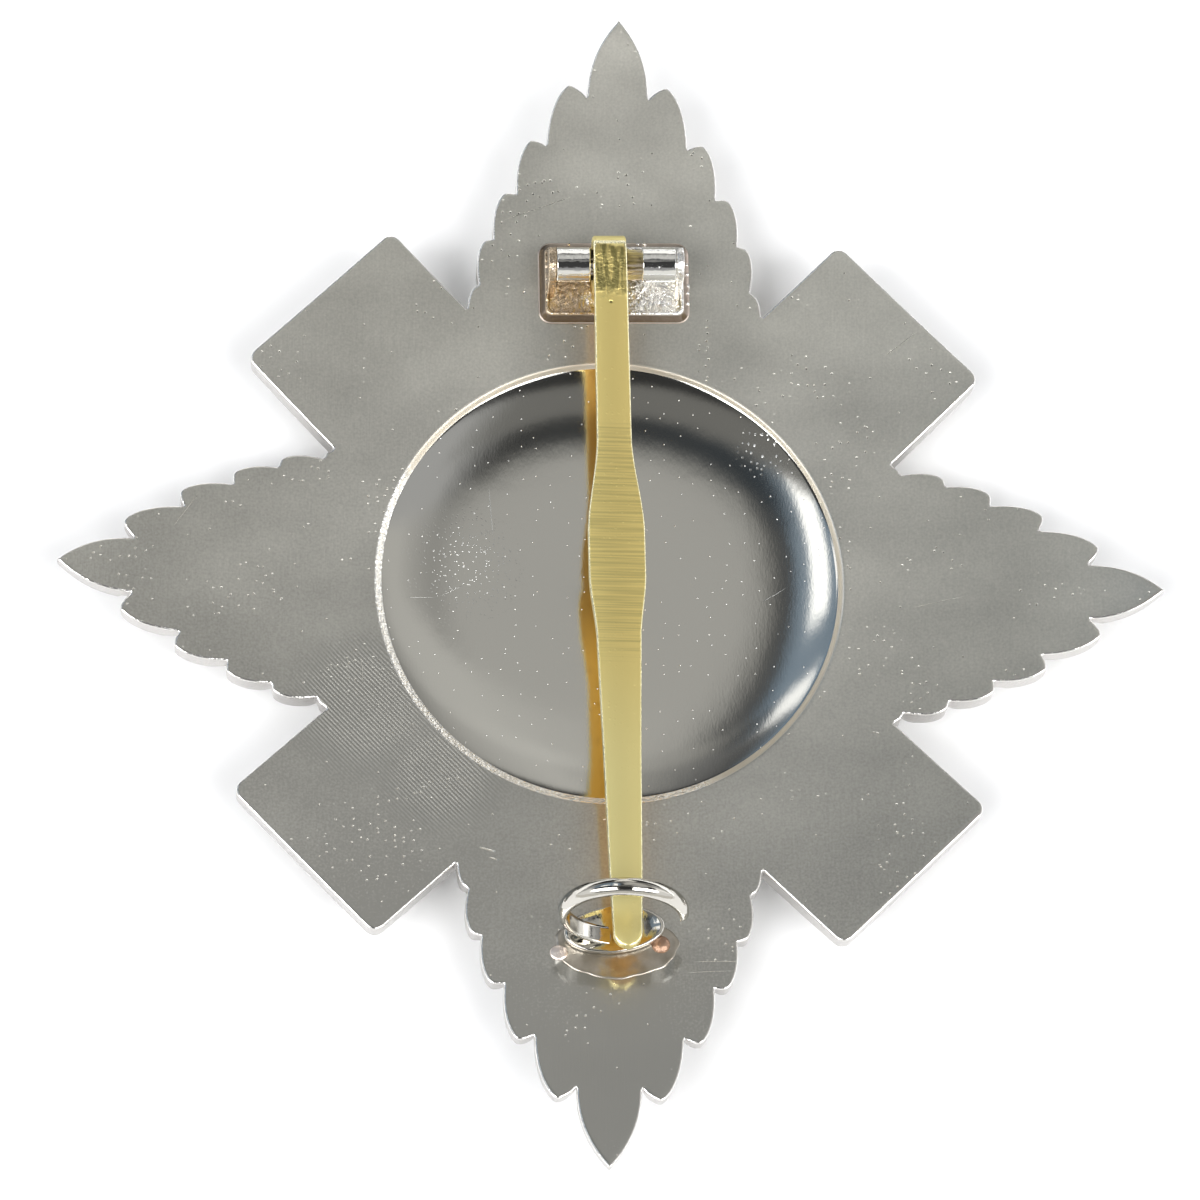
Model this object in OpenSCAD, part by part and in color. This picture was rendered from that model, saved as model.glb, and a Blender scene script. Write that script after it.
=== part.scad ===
// Breast star, lying on its front with the pin at its back.
// Millimetres, +Z up out of the star's back, +Y toward the hinge end.
// The raised boss on the front rests on z = 0, and the star's middle is at x = 0, y = 0.

/* [Star plate] */
// Length of the star between its upper and lower points
star_len = 84; // [78:0.5:90]
// Width of the star between its two side points
star_w = 76.4; // [72:0.2:82]
// Width of the upper and the lower leaf at its root
long_leaf_w = 21.2; // [20:0.1:22.4]
// Width of the two side leaves at their root
side_leaf_w = 19.4; // [18.2:0.1:20.4]
// Width of a diagonal arm
arm_w = 14.06; // [12.6:0.02:15.4]
// Reach of a diagonal arm from the star's middle to its square end
arm_reach = 29.45; // [27.5:0.05:31.5]
// Radius of the two corners at an arm's end
arm_corner_r = 0.8; // [0.4:0.1:1.6]
// Height of the hollow back's middle above the table
back_h = 3.4; // [3.2:0.1:4.2]
// Rise of the upper and lower points above the back's middle
point_rise = 3.83; // [3:0.01:4.6]
// Thickness of the plate at its points
point_t = 0.9; // [0.7:0.05:1.3]
// Thickness of the plate beside the boss
plate_t = 2.0; // [1.7:0.05:2.2]
// Depth of the grooves between the rays where they meet the edge
groove_edge_d = 0.5; // [0.3:0.05:0.6]
// Depth of the same grooves where they end beside the boss
groove_root_d = 0.15; // [0.1:0.05:0.4]
// Flare of a groove: its width for each millimetre of depth
groove_flare = 2.2; // [1.4:0.1:3]
// Width of the plain border round the panel on an arm
arm_border = 1.1; // [0.6:0.1:2]
// Height of the panel on an arm above the front
arm_panel_h = 0.45; // [0.2:0.05:0.8]

/* [Boss and dish] */
// Radius of the round boss on the front
boss_r = 17.6; // [16.9:0.1:18.6]
// Width of the sloped shoulder round the boss
boss_shoulder = 1.1; // [0.6:0.1:1.8]
// Inner radius of the boss's flat ring
boss_ring_r = 12.5; // [10:0.1:14]
// Depth of the step inside the flat ring
boss_step = 1.0; // [0.6:0.05:1.2]
// Depth of the low dome's top behind the flat ring
dome_gap = 0.3; // [0.2:0.05:0.5]
// Radius of the dish's rim in the back
dish_r = 16.17; // [15:0.01:16.4]
// Depth of the dish below its rim
dish_depth = 1.3; // [0.8:0.05:1.5]
// Height of the steep lip just under the dish's rim
dish_lip = 0.3; // [0.15:0.05:0.5]
// Place of the dish's middle to the side of the star's middle
dish_x = -0.16; // [-0.5:0.02:0.5]
// Place of the dish's middle above the star's middle
dish_y = 0.5; // [-0.5:0.02:0.6]

/* [Hinge] */
// Turn of the hinge and the pin about the star's middle
hinge_skew = 1.85; // [-3:0.05:3]
// Place of the hinge to the side, before that turn
hinge_x = 0.66; // [-2:0.02:2]
// Distance of the hinge from the star's middle, before that turn
hinge_y = 22.62; // [21.9:0.02:24]
// Width of the hinge's base
base_w = 10.1; // [9.8:0.1:11.5]
// Depth of the hinge's base
base_d = 5.37; // [5:0.01:6]
// Thickness of the hinge's base
base_t = 0.3; // [0.25:0.05:0.35]
// Width of the sloped solder edge round the base
solder_w = 0.3; // [0.15:0.05:0.6]
// Height of the tray's low wall above its floor
tray_wall_h = 0.4; // [0.2:0.05:0.6]
// Thickness of the tray's low wall
tray_wall_t = 0.42; // [0.3:0.02:0.6]
// Thickness of an ear that holds the rod
ear_t = 0.5; // [0.4:0.05:0.7]
// Radius of an ear's round top
ear_r = 1.25; // [1.15:0.01:1.5]
// Depth of an ear at its foot
ear_foot_d = 3.5; // [3:0.1:4]
// Height of the rod's axis above the seat
rod_h = 2.53; // [2.5:0.01:2.9]
// Place of the rod's axis ahead of the base's middle
rod_y = 0.57; // [0.3:0.01:0.7]
// Length of the rod between its smooth ends
rod_len = 8.36; // [8.2:0.02:8.6]
// Diameter of the rod's smooth shoulders
shoulder_d = 2.43; // [2.3:0.01:2.6]
// Length of the fluted middle of the rod
rod_mid_len = 3.64; // [3.2:0.02:4.2]
// Diameter of the fluted middle of the rod
rod_d = 2.15; // [2:0.01:2.25]
// Number of flutes round the rod
flutes = 14; // [8:1:18]
// Diameter of the cutter that makes a flute
flute_d = 0.3; // [0.2:0.02:0.36]
// Depth of a flute
flute_depth = 0.08; // [0.04:0.01:0.12]
// Diameter of the rod's thin ends in the ears
trunnion_d = 1.4; // [1.1:0.05:1.6]
// Running clearance all round the rod's ends and the blade's loop
run_gap = 0.055; // [0.03:0.005:0.08]
// Clearance at each end of the rod's shoulders
side_gap = 0.07; // [0.04:0.01:0.12]

/* [Pin blade] */
// Length of the blade from the rod's axis to its tip
blade_len = 50.15; // [49.6:0.05:51.4]
// Width of the blade at its widest
blade_w = 3.94; // [3.4:0.02:4.6]
// Thickness of the blade's strip
blade_t = 0.9; // [0.75:0.05:0.95]
// Place of the blade to the side of the hinge's middle
blade_x = -0.49; // [-0.6:0.01:0.3]
// Fall of the blade from the hinge to its tip
blade_fall = 0.28; // [0:0.02:0.8]
// Sag of the blade's middle below the line from the hinge to the tip
blade_sag = 0.95; // [0.4:0.05:1.3]

/* [Catch] */
// Place of the catch to the side of the star's middle
catch_x = 0.3; // [-0.2:0.05:0.6]
// Distance of the catch below the star's middle
catch_y = 25.1; // [24.6:0.05:25.6]
// Turn of the catch's pad
pad_turn = 7.7; // [0:0.1:12]
// Length of the catch's pad
pad_l = 6.9; // [6.4:0.1:8]
// Width of the catch's pad
pad_w = 3.35; // [3:0.05:3.8]
// Thickness of the pad at its rim
pad_t = 0.65; // [0.5:0.05:0.9]
// Depth of the hollow in the pad
pad_dish = 0.22; // [0.1:0.02:0.3]
// Radius of the hook at the middle of its strip
hook_r = 4.1; // [3.8:0.05:4.6]
// Width of the hook's strip
hook_w = 1.3; // [1:0.05:1.6]
// Thickness of the hook's strip
hook_t = 0.6; // [0.45:0.05:0.8]
// Height of the hook's middle above the seat, along the hook
hook_h = 4.2; // [4:0.05:4.7]
// Sweep of the hook from its free end round to its foot
hook_sweep = 262; // [255:1:268]
// Lean of the hook toward the hinge, from the seat's upright
hook_lean = 2.8; // [0:0.1:6]
// Place of the hook's middle to the side of the pad's middle
hook_x = 0.38; // [0:0.02:0.6]
// Place of the hook's foot behind the pad's middle
hook_y = 0.45; // [0.2:0.05:0.7]
// Diameter of the drop of solder beside the pad
drop_d = 1.5; // [1:0.05:1.9]

/* [Hidden] */
$fn = 64;

// Gap left between a flat seat and the hollow back, so that the pieces only meet there
seat_gap = 0.02;

// Number of straight pieces in each kind of curve
TIP_STEPS = 6;
TOOTH_STEPS = 5;
NOTCH_STEPS = 2;
CORNER_STEPS = 3;

// Fullness of a leaf's curved sides, as a share of their length
TIP_BULGE = 0.1;
TOOTH_BULGE = 0.11;
NOTCH_BULGE = 0.08;

// Side points of a leaf, from its tip to its root.
// Columns: notch along, notch across, tooth along, tooth across.
// Along is a share of the leaf's reach, across a share of half its root width.
TEETH = [
    [0.863, 0.205, 0.885, 0.325],
    [0.777, 0.473, 0.786, 0.575],
    [0.690, 0.668, 0.691, 0.745],
    [0.609, 0.817, 0.606, 0.873],
    [0.528, 0.905, 0.526, 0.925]
];
// Where a leaf's side runs into the arm, as a share of half its root width
ROOT_ACROSS = 0.98;
// How far a groove runs in from the notch toward the middle line of its leaf
GROOVE_INWARD = 0.45;
// Fullness of the dish's wall: a higher number gives a flatter floor
DISH_POWER = 6;
DISH_STEPS = 14;

// Plan of the blade.
// Columns: distance from the axis as a share of the length, width as a share of the
// greatest width, and 1 where an S-shaped side leads to this row.
BLADE_PLAN = [
    [0.000, 0.589, 0],
    [0.265, 0.614, 0],
    [0.409, 1.000, 1],
    [0.465, 1.000, 0],
    [0.566, 0.777, 1],
    [0.726, 0.660, 0],
    [0.893, 0.569, 0],
    [0.975, 0.497, 0]
];
PLAN_STEPS = 7;
SAG_STEPS = 14;

long_reach = star_len / 2;
side_reach = star_w / 2;

// The hollow back is part of a sphere through the back's middle and its points
back_R = (pow(long_reach, 2) + pow(point_rise, 2)) / (2 * point_rise);
back_cz = back_h + back_R;

// The front is part of another sphere, which gives the plate both its thicknesses
front_z0 = back_z(boss_r) - plate_t;
front_z1 = back_z(long_reach) - point_t;
front_span = (pow(long_reach, 2) - pow(boss_r, 2)) / (front_z1 - front_z0);
front_drop = (front_span - (front_z1 - front_z0)) / 2;
front_R = sqrt(pow(long_reach, 2) + pow(front_drop, 2));
front_cz = front_z1 + front_drop;

// Seats of the hinge and of the catch on the hollow back
hinge_slope = asin(hinge_y / back_R);
catch_slope = asin(catch_y / back_R);
hinge_lift = (pow(base_w / 2 + solder_w, 2) + pow(base_d / 2 + solder_w, 2)) / (2 * back_R) + seat_gap;
catch_lift = pow(pad_l / 2, 2) / (2 * back_R) + seat_gap;
ear_x = rod_len / 2 + side_gap;

// The rod's axis in the frame that hinge_skew turns
axis_y = hinge_y + rod_y * cos(hinge_slope) - (rod_h + hinge_lift) * sin(hinge_slope);
axis_z = back_z(hinge_y) + rod_y * sin(hinge_slope) + (rod_h + hinge_lift) * cos(hinge_slope);
loop_r = rod_d / 2 + run_gap;
loop_outer_r = loop_r + blade_t;
tip_round = BLADE_PLAN[len(BLADE_PLAN) - 1][1] * blade_w / 2;

function back_z(r) = back_cz - sqrt(pow(back_R, 2) - pow(r, 2));
function front_z(r) = front_cz - sqrt(pow(front_R, 2) - pow(r, 2));

// A side that curves out from p to q, without q itself
function curved_side(p, q, bulge, steps, power) = [
    for (i = [0 : steps - 1])
        let (t = i / steps, s = pow(t, power), d = q - p)
        p + t * d + bulge * 4 * s * (1 - s) * [-d[1], d[0]]
];

// One side of a leaf, as [across, along], from its tip to its root
function tooth_side(k, reach, half) =
    let (
        notch = [TEETH[k][1] * half, TEETH[k][0] * reach],
        tooth = [TEETH[k][3] * half, TEETH[k][2] * reach],
        last = k == len(TEETH) - 1,
        next = last ? leaf_root(half) : [TEETH[k + 1][1] * half, TEETH[k + 1][0] * reach]
    )
    concat(
        curved_side(notch, tooth, NOTCH_BULGE, NOTCH_STEPS, 1),
        curved_side(tooth, next, TOOTH_BULGE, TOOTH_STEPS, 0.75)
    );
function leaf_root(half) = [ROOT_ACROSS * half, ROOT_ACROSS * half + arm_w / sqrt(2)];
function leaf_side(reach, half) = concat(
    curved_side([0, reach], [TEETH[0][1] * half, TEETH[0][0] * reach], TIP_BULGE, TIP_STEPS, 1),
    [for (k = [0 : len(TEETH) - 1]) for (p = tooth_side(k, reach, half)) p],
    [leaf_root(half)]
);

// The square end of the arm between +Y and +X, from its upper corner to its right one
function arm_corner(side) = [
    for (i = [0 : CORNER_STEPS])
        let (
            turn = side > 0 ? 135 - 90 * i / CORNER_STEPS : 45 - 90 * i / CORNER_STEPS,
            along = arm_reach - arm_corner_r,
            across = side * (arm_w / 2 - arm_corner_r)
        )
        [along - across, along + across] / sqrt(2) + arm_corner_r * [cos(turn), sin(turn)]
];

function flipped(points) = [for (i = [len(points) - 1 : -1 : 0]) points[i]];
function quadrant() = concat(
    leaf_side(long_reach, long_leaf_w / 2),
    arm_corner(1),
    arm_corner(-1),
    [for (p = flipped(leaf_side(side_reach, side_leaf_w / 2))) [p[1], p[0]]]
);
function without_last(points) = [for (i = [0 : len(points) - 2]) points[i]];
function star_outline() =
    let (q = quadrant(), back = flipped(q))
    concat(
        without_last(q),
        without_last([for (p = back) [p[0], -p[1]]]),
        without_last([for (p = q) [-p[0], -p[1]]]),
        without_last([for (p = back) [-p[0], p[1]]])
    );

module back_sphere() {
    translate([0, 0, back_cz]) sphere(r = back_R, $fn = 240);
}

module front_sphere(lower = 0) {
    translate([0, 0, front_cz - lower]) sphere(r = front_R, $fn = 240);
}

// A V-shaped groove in the front, its bottom running from one point to another
module groove(start, end) {
    flat = end - start;
    z0 = front_z(norm(start)) + groove_edge_d;
    z1 = front_z(norm(end)) + groove_root_d;
    length = norm([flat[0], flat[1], z1 - z0]);
    open_d = 1.6;
    translate([start[0], start[1], z0])
        rotate([0, -asin((z1 - z0) / length), atan2(flat[1], flat[0])])
            rotate([90, 0, 90])
                linear_extrude(length)
                    polygon([
                        [0, 0],
                        [-open_d * groove_flare / 2, -open_d],
                        [open_d * groove_flare / 2, -open_d]
                    ]);
}

// The grooves between the rays of one leaf that points to +Y
module leaf_grooves(reach, half) {
    for (row = TEETH)
        for (side = [-1, 1]) {
            notch = [side * row[1] * half, row[0] * reach];
            root = [notch[0] * GROOVE_INWARD, boss_r + 0.6];
            outward = (notch - root) / norm(notch - root);
            groove(notch + 0.4 * outward, root);
        }
}

// The panel on the front of the arm between +Y and +X
module arm_panel() {
    near = boss_r - boss_shoulder;
    far = arm_reach - arm_border;
    half = arm_w / 2 - arm_border;
    rotate([0, 0, 45])
        linear_extrude(back_z(arm_reach))
            translate([near, -half]) square([far - near, 2 * half]);
}

module boss() {
    top_z = back_h - dish_depth * 0.6;
    dome_steps = 8;
    inner_r = boss_ring_r - boss_step / 2;
    rotate_extrude($fn = 128)
        polygon(concat(
            [for (i = [0 : dome_steps])
                let (s = i / dome_steps)
                [s * inner_r, dome_gap + (boss_step - dome_gap) * s * s]],
            [
                [boss_ring_r, 0],
                [boss_r - boss_shoulder, 0],
                [boss_r, boss_shoulder],
                [boss_r, top_z],
                [0, top_z]
            ]
        ));
}

module dish_cut() {
    rim_z = back_z(dish_r);
    translate([dish_x, dish_y, 0])
        rotate_extrude($fn = 128)
            polygon(concat(
                [for (i = [0 : DISH_STEPS])
                    let (s = i / DISH_STEPS)
                    [s * dish_r, rim_z - dish_lip - (dish_depth - dish_lip) * (1 - pow(s, DISH_POWER))]],
                [[dish_r, rim_z + point_rise], [0, rim_z + point_rise]]
            ));
}

module star_plate() {
    tall = back_z(long_reach) + 1;
    color("silver")
        difference() {
            union() {
                intersection() {
                    linear_extrude(tall) polygon(star_outline());
                    front_sphere();
                }
                for (turn = [0, 90, 180, 270])
                    intersection() {
                        rotate([0, 0, turn]) arm_panel();
                        front_sphere(arm_panel_h);
                    }
                boss();
            }
            back_sphere();
            dish_cut();
            for (turn = [0, 180]) {
                rotate([0, 0, turn]) leaf_grooves(long_reach, long_leaf_w / 2);
                rotate([0, 0, turn + 90]) leaf_grooves(side_reach, side_leaf_w / 2);
            }
        }
}

// Puts a piece on the hinge's seat: +X along the rod, +Z out of the back
module on_hinge_seat() {
    rotate([0, 0, hinge_skew])
        translate([hinge_x, hinge_y, back_z(hinge_y)])
            rotate([hinge_slope, 0, 0])
                translate([0, 0, hinge_lift])
                    children();
}

module rounded_plate(w, d, t, r) {
    linear_extrude(t)
        union() {
            square([w - 2 * r, d], center = true);
            square([w, d - 2 * r], center = true);
            for (x = [-1, 1])
                for (y = [-1, 1])
                    translate([x * (w / 2 - r), y * (d / 2 - r)]) circle(r);
        }
}

// One ear, its outline in Y and Z, standing from x = 0 to x = ear_t
module ear() {
    rotate([90, 0, 90])
        linear_extrude(ear_t)
            difference() {
                union() {
                    translate([rod_y, rod_h]) circle(ear_r);
                    polygon([
                        [rod_y - ear_foot_d / 2, base_t / 2],
                        [rod_y + ear_foot_d / 2, base_t / 2],
                        [rod_y + ear_r, rod_h],
                        [rod_y - ear_r, rod_h]
                    ]);
                }
                translate([rod_y, rod_h]) circle(trunnion_d / 2 + run_gap);
            }
}

module hinge_housing() {
    wall_top = base_t + tray_wall_h;
    inner_w = 2 * ear_x;
    color("rosybrown")
        on_hinge_seat() {
            rounded_plate(base_w, base_d, base_t, 0.6);
            rounded_plate(base_w + 2 * solder_w, base_d + 2 * solder_w, base_t / 2, 0.9);
            difference() {
                rounded_plate(base_w - solder_w, base_d - solder_w, wall_top, 0.5);
                translate([-inner_w / 2, -(base_d - solder_w) / 2 + tray_wall_t, base_t])
                    cube([inner_w, base_d, wall_top]);
            }
            translate([ear_x, 0, 0]) ear();
            translate([-ear_x - ear_t, 0, 0]) ear();
        }
}

// A round piece of the rod's length, from one side of its middle to the other
module rod_stretch(d, length) {
    rotate([0, 90, 0]) cylinder(d = d, h = length, center = true);
}

// The rod about the X axis: thin ends, smooth shoulders and a fluted middle
module hinge_rod() {
    trunnion_len = 2 * (ear_x + ear_t - side_gap);
    color("lightgray")
        on_hinge_seat()
            translate([0, rod_y, rod_h]) {
                rod_stretch(trunnion_d, trunnion_len);
                difference() {
                    rod_stretch(shoulder_d, rod_len);
                    rod_stretch(2 * shoulder_d, rod_mid_len);
                }
                difference() {
                    rod_stretch(rod_d, rod_mid_len);
                    for (i = [0 : flutes - 1])
                        rotate([360 * i / flutes, 0, 0])
                            translate([0, 0, rod_d / 2 - flute_depth + flute_d / 2])
                                rod_stretch(flute_d, 2 * rod_mid_len);
                }
            }
}

// Half widths of the blade as [distance from the axis, half width]
function ease(t) = t * t * (3 - 2 * t);
function plan_step(k) =
    let (a = BLADE_PLAN[k], b = BLADE_PLAN[k + 1], steps = b[2] == 1 ? PLAN_STEPS : 1)
    [for (i = [1 : steps])
        let (t = i / steps)
        [(a[0] + t * (b[0] - a[0])) * blade_len, (a[1] + ease(t) * (b[1] - a[1])) * blade_w / 2]];
function blade_side() = concat(
    [
        [-loop_outer_r - 1, BLADE_PLAN[0][1] * blade_w / 2],
        [0, BLADE_PLAN[0][1] * blade_w / 2]
    ],
    [for (k = [0 : len(BLADE_PLAN) - 2]) for (p = plan_step(k)) p],
    [for (turn = [60, 30])
        [blade_len - tip_round * (1 - cos(turn)), tip_round * sin(turn)]],
    [[blade_len, 0]]
);

// Height of the blade's upper face over the rod's axis, at a share of its length
function blade_top(share) = loop_outer_r - blade_fall * share - blade_sag * sin(180 * share);

// The blade with the rod's axis on X and its tip toward -Y
module pin_blade() {
    side = blade_side();
    ahead = loop_outer_r + 1;
    color("gold")
        rotate([0, 0, hinge_skew])
            translate([hinge_x + blade_x, axis_y, axis_z])
                difference() {
                    intersection() {
                        translate([0, 0, -ahead])
                            linear_extrude(2 * ahead)
                                polygon(concat(
                                    [for (p = side) [p[1], -p[0]]],
                                    [for (i = [len(side) - 2 : -1 : 0]) [-side[i][1], -side[i][0]]]
                                ));
                        translate([-blade_w, 0, 0])
                            rotate([90, 0, 90])
                                linear_extrude(2 * blade_w)
                                    union() {
                                        circle(loop_outer_r);
                                        polygon(concat(
                                            [for (i = [0 : SAG_STEPS])
                                                [-blade_len * i / SAG_STEPS, blade_top(i / SAG_STEPS)]],
                                            [for (i = [SAG_STEPS : -1 : 0])
                                                [-blade_len * i / SAG_STEPS, blade_top(i / SAG_STEPS) - blade_t]]
                                        ));
                                    }
                    }
                    rotate([0, 90, 0]) cylinder(r = loop_r, h = 2 * blade_w, center = true);
                }
}

// Puts a piece on the catch's seat: +Z out of the back
module on_catch_seat() {
    translate([catch_x, -catch_y, back_z(catch_y)])
        rotate([-catch_slope, 0, 0])
            translate([0, 0, catch_lift])
                children();
}

module catch_pad() {
    rim_steps = 40;
    hollow_R = (pow(pad_w / 2, 2) + pow(pad_dish, 2)) / (2 * pad_dish);
    rotate([0, 0, pad_turn])
        difference() {
            linear_extrude(pad_t)
                polygon([for (i = [0 : rim_steps - 1])
                    let (turn = 360 * i / rim_steps)
                    [pad_l / 2 * cos(turn), pad_w / 2 * sin(turn)]]);
            translate([0, 0, pad_t + hollow_R - pad_dish]) sphere(r = hollow_R);
        }
}

// The open hook: flat inside, rounded outside, in a plane across the blade
module hook() {
    round_steps = 8;
    section = [for (i = [0 : round_steps])
        let (turn = -90 + 180 * i / round_steps)
        [hook_r - hook_t / 2 + hook_t * cos(turn), hook_w / 2 * sin(turn)]];
    translate([hook_x, -hook_y, 0])
        rotate([-hook_lean, 0, 0])
            translate([0, 0, hook_h])
                rotate([90, 0, 0])
                    rotate_extrude(angle = hook_sweep, $fn = 96)
                        polygon(section);
}

module catch() {
    color("gainsboro")
        on_catch_seat() {
            catch_pad();
            hook();
            translate([pad_l / 2 * cos(pad_turn) - drop_d / 6, -pad_w / 4, 0])
                difference() {
                    sphere(d = drop_d, $fn = 32);
                    translate([0, 0, -drop_d]) cube(2 * drop_d, center = true);
                }
        }
}

star_plate();
hinge_housing();
hinge_rod();
pin_blade();
catch();
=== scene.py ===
"""A breast star lying on its front, its pin and catch up, on a pale table under soft studio light."""
import math

import bpy
import numpy as np
from mathutils import Euler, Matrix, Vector


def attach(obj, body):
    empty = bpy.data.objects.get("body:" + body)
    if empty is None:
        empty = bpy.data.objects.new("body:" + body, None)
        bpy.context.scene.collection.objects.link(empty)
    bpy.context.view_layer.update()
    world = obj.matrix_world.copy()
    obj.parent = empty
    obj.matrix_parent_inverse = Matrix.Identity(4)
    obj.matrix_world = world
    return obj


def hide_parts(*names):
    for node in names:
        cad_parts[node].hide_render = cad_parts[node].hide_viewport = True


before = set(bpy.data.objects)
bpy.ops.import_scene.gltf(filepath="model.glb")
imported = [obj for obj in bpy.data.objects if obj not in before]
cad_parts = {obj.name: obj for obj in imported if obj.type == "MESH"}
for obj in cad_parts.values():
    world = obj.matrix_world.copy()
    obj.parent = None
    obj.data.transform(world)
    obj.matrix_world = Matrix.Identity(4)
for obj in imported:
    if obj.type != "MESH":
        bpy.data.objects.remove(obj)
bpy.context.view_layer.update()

# The camera
# It looks down at the star's back from above and a little below its lower point, as in the
# photo: a long lens on a stand, twenty degrees off the upright.
MM = 0.001
camera_place = Vector((-19.43, -123.93, 341.7)) * MM
camera_turn = Euler((math.radians(19.95), math.radians(-3.337), math.radians(0.494)))
camera_data = bpy.data.cameras.new("camera")
camera_data.lens = 155.97
camera_data.sensor_width = 36
camera_data.clip_start = 0.01
camera = bpy.data.objects.new("camera", camera_data)
camera.location = camera_place
camera.rotation_euler = camera_turn
bpy.context.scene.collection.objects.link(camera)
bpy.context.scene.camera = camera
bpy.context.scene.view_settings.view_transform = "Standard"


# The table
# A smooth white board, larger than any view of the star.
def add_node(tree, kind, inputs=None, **settings):
    """Adds one shader node, with its settings, and a value or a link for each named input."""
    made = tree.nodes.new(kind)
    for key, value in settings.items():
        setattr(made, key, value)
    for key, value in (inputs or {}).items():
        if isinstance(value, bpy.types.NodeSocket):
            tree.links.new(value, made.inputs[key])
        else:
            made.inputs[key].default_value = value
    return made


def new_piece(name, points, faces):
    """Makes a smooth mesh piece from points in millimetres and a list of arrays of corner numbers."""
    mesh = bpy.data.meshes.new(name)
    mesh.from_pydata((np.asarray(points, float) * MM).tolist(), [], [f for a in faces for f in a.tolist()])
    mesh.update()
    mesh.polygons.foreach_set("use_smooth", [True] * len(mesh.polygons))
    piece = bpy.data.objects.new(name, mesh)
    bpy.context.scene.collection.objects.link(piece)
    return piece


table_half, table_drop = 1500.0, 0.02
table_corners = np.array([[-1, -1, 0], [1, -1, 0], [1, 1, 0], [-1, 1, 0]]) * table_half
table = new_piece("table", table_corners - [0, 0, table_drop], [np.array([[0, 1, 2, 3]])])
table_paint = bpy.data.materials.new("table_white")
table_paint.use_nodes = True
table_shader = table_paint.node_tree.nodes["Principled BSDF"]
table_shader.inputs["Base Color"].default_value = (0.93, 0.93, 0.94, 1)
table_shader.inputs["Roughness"].default_value = 0.6
table_shader.inputs["Specular IOR Level"].default_value = 0.2
table_shader.inputs["Emission Color"].default_value = (1, 1, 1, 1)
table_shader.inputs["Emission Strength"].default_value = 0.08
table.data.materials.append(table_paint)


# The light
# A room of soft cards: two bright ones above the star, a pale wall beyond its upper point, and a
# dark gap where the camera stands. Polished metal shows the cards, and brushed metal blurs them.
def smooth_edge(tree, value, low, high):
    """Rises smoothly from 0 at low to 1 at high, or falls where high is the smaller."""
    return add_node(tree, "ShaderNodeMapRange", {"Value": value, "From Min": low, "From Max": high},
                    interpolation_type="SMOOTHSTEP").outputs["Result"]


def rescaled(tree, value, old, new):
    """Carries a value evenly from the range old to the range new, and holds it at their ends."""
    return add_node(tree, "ShaderNodeMapRange", {
        "Value": value, "From Min": old[0], "From Max": old[1], "To Min": new[0], "To Max": new[1],
    }).outputs["Result"]


def combine(tree, operation, a, b):
    """The result of a Math node on two values or links."""
    return add_node(tree, "ShaderNodeMath", {0: a, 1: b}, operation=operation).outputs[0]


def axes(tree, vector):
    """The X, Y and Z outputs of a vector."""
    return add_node(tree, "ShaderNodeSeparateXYZ", {"Vector": vector}).outputs


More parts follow.
